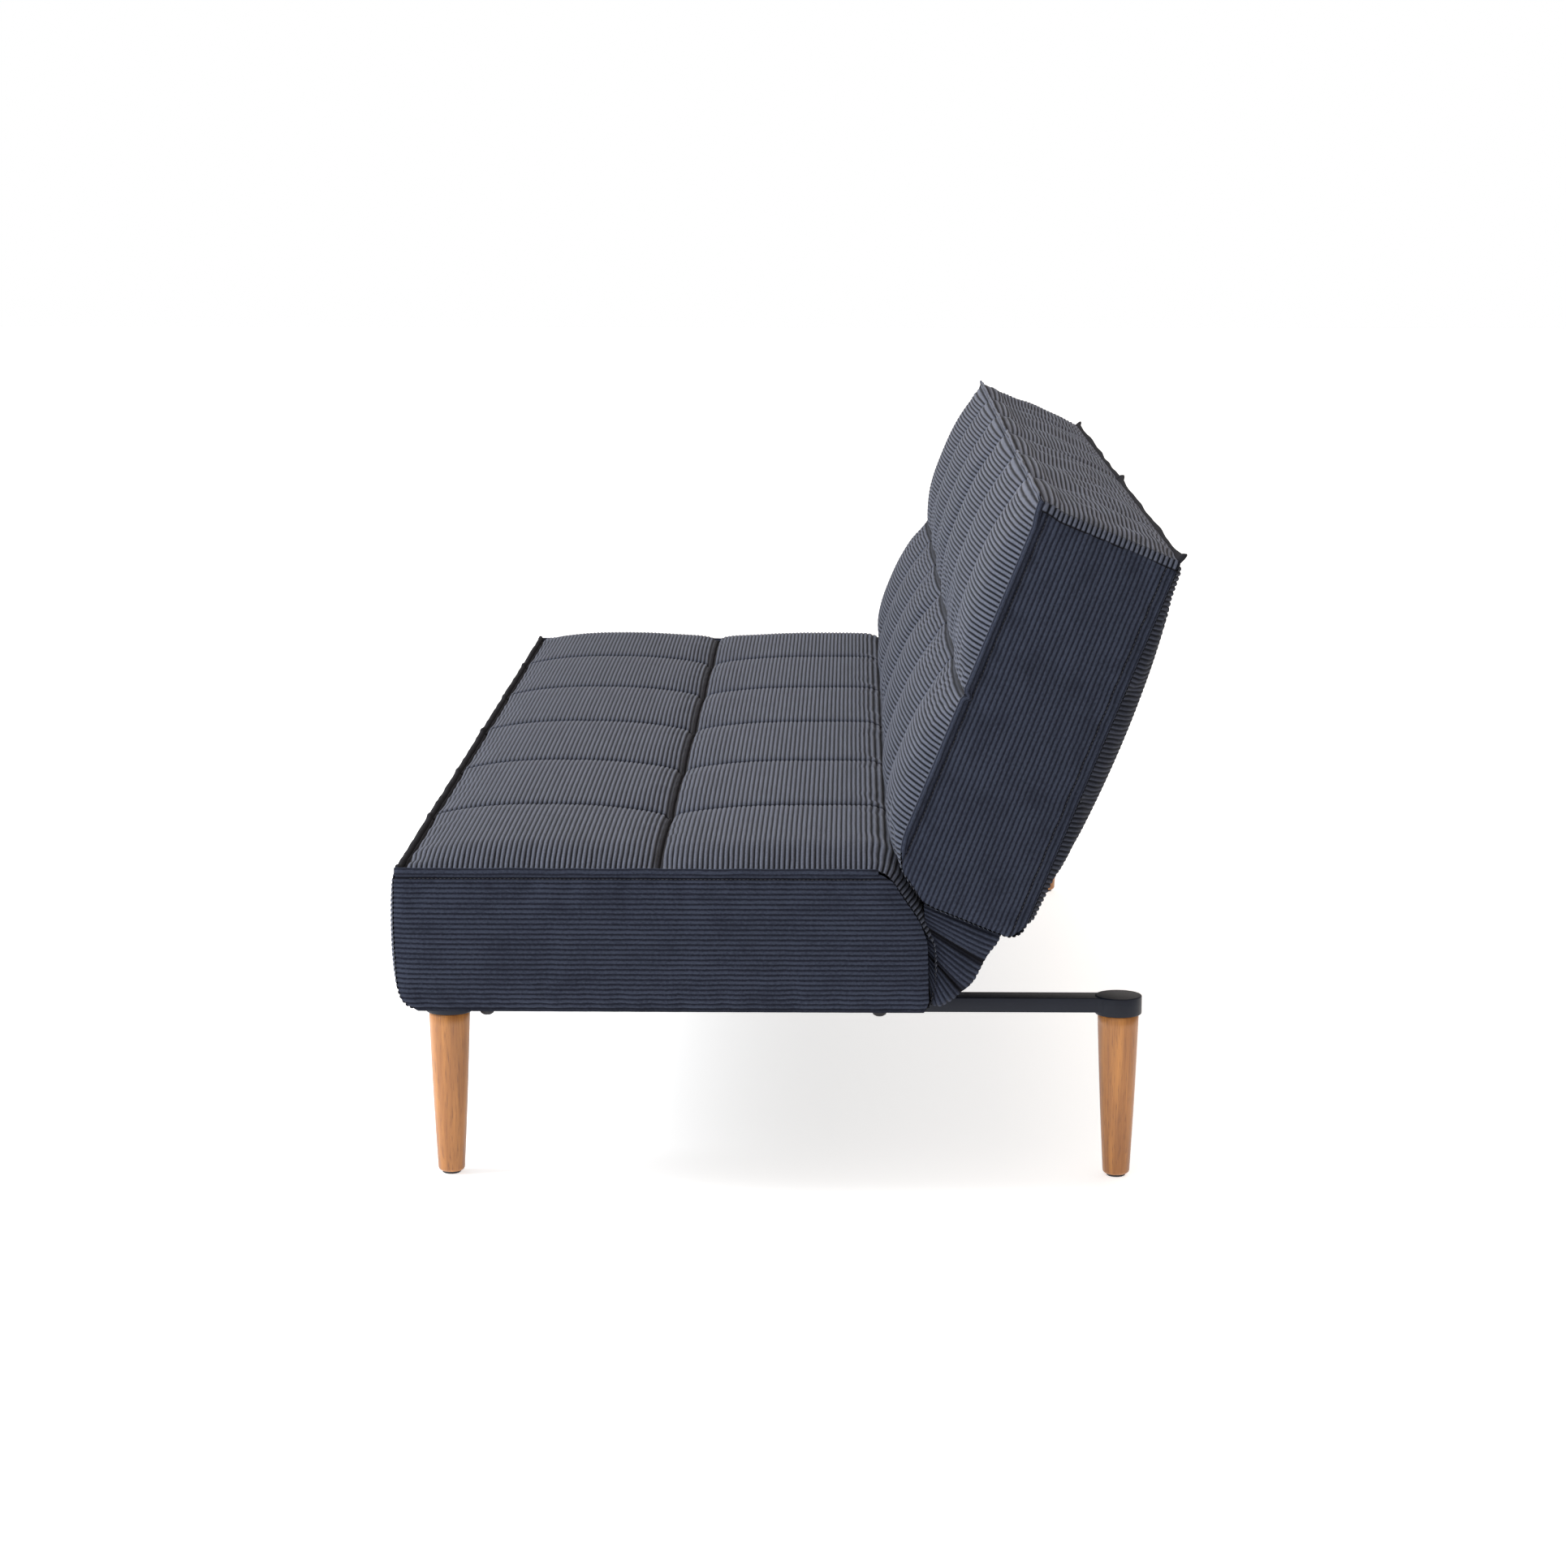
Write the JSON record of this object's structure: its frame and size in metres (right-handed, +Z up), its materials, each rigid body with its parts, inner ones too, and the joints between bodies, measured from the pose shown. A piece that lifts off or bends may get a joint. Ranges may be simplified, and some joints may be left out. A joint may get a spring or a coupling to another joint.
{
  "type": "sofa bed",
  "caption": "Armless click-clack sofa bed: a channel-quilted corduroy seat and split folding back on two black steel base rails with tapered round wooden legs.",
  "frame": {"origin": "on the floor, under the middle of the sofa's bounding box", "axes": "+X to the sitter's left along the width, -Y to the front, +Z up"},
  "size_m": [2.1, 0.9139, 0.8333],
  "materials": {
    "corduroy": "ribbed cotton corduroy, slate blue-grey, matte",
    "foam": "open-cell upholstery foam, cream, matte",
    "felt": "non-woven dust cloth, black, matte",
    "black_steel": "fine-textured powder coat, satin",
    "bare_steel": "zinc-plated, satin",
    "beech": "clear satin lacquer over light brown stain",
    "nylon": "moulded nylon, black, matte"
  },
  "bodies": {
    "base": {"base_rail_left": "black_steel", "base_rail_right": "black_steel", "leg_front_left": "beech", "leg_front_right": "beech", "leg_rear_left": "beech", "leg_rear_right": "beech", "leg_glide_front_left": "nylon", "leg_glide_front_right": "nylon", "leg_glide_rear_left": "nylon", "leg_glide_rear_right": "nylon", "leg_stud_front_left": "bare_steel", "leg_stud_front_right": "bare_steel", "leg_stud_rear_left": "bare_steel", "leg_stud_rear_right": "bare_steel", "rail_bolt_front_left": "bare_steel", "rail_bolt_front_right": "bare_steel", "rail_bolt_rear_left": "bare_steel", "rail_bolt_rear_right": "bare_steel", "rail_spacer_front_left": "nylon", "rail_spacer_front_right": "nylon", "rail_spacer_rear_left": "nylon", "rail_spacer_rear_right": "nylon", "seat_frame": "black_steel", "seat_spring_1": "bare_steel", "seat_spring_2": "bare_steel", "seat_spring_3": "bare_steel", "seat_spring_4": "bare_steel", "seat_spring_5": "bare_steel", "seat_spring_6": "bare_steel", "seat_foam": "foam", "seat_cover": "corduroy", "seat_dust_cover": "felt", "hinge_seat_arm_left_inner": "black_steel", "hinge_seat_arm_left_outer": "black_steel", "hinge_seat_arm_right_inner": "black_steel", "hinge_seat_arm_right_outer": "black_steel", "hinge_rivet_left_inner": "bare_steel", "hinge_rivet_left_outer": "bare_steel", "hinge_rivet_right_inner": "bare_steel", "hinge_rivet_right_outer": "bare_steel", "gusset_left": "corduroy", "gusset_right": "corduroy"},
    "back_left": {"back_frame_left": "black_steel", "back_spring_left_1": "bare_steel", "back_spring_left_2": "bare_steel", "back_spring_left_3": "bare_steel", "back_foam_left": "foam", "back_cover_left": "corduroy", "hinge_back_arm_left_inner": "black_steel", "hinge_back_arm_left_outer": "black_steel"},
    "back_right": {"back_frame_right": "black_steel", "back_spring_right_1": "bare_steel", "back_spring_right_2": "bare_steel", "back_spring_right_3": "bare_steel", "back_foam_right": "foam", "back_cover_right": "corduroy", "hinge_back_arm_right_inner": "black_steel", "hinge_back_arm_right_outer": "black_steel"}
  },
  "joints": [
    {"name": "back_left_recline", "type": "hinge", "parent": "base", "child": "back_left", "pos_m": [0.52, 0.176, 0.33], "axis": [-1, 0, 0], "range_deg": [-8, 68], "deforming": ["gusset_left"]},
    {"name": "back_right_recline", "type": "hinge", "parent": "base", "child": "back_right", "pos_m": [-0.52, 0.176, 0.33], "axis": [-1, 0, 0], "range_deg": [-8, 68], "deforming": ["gusset_right"]}
  ]
}
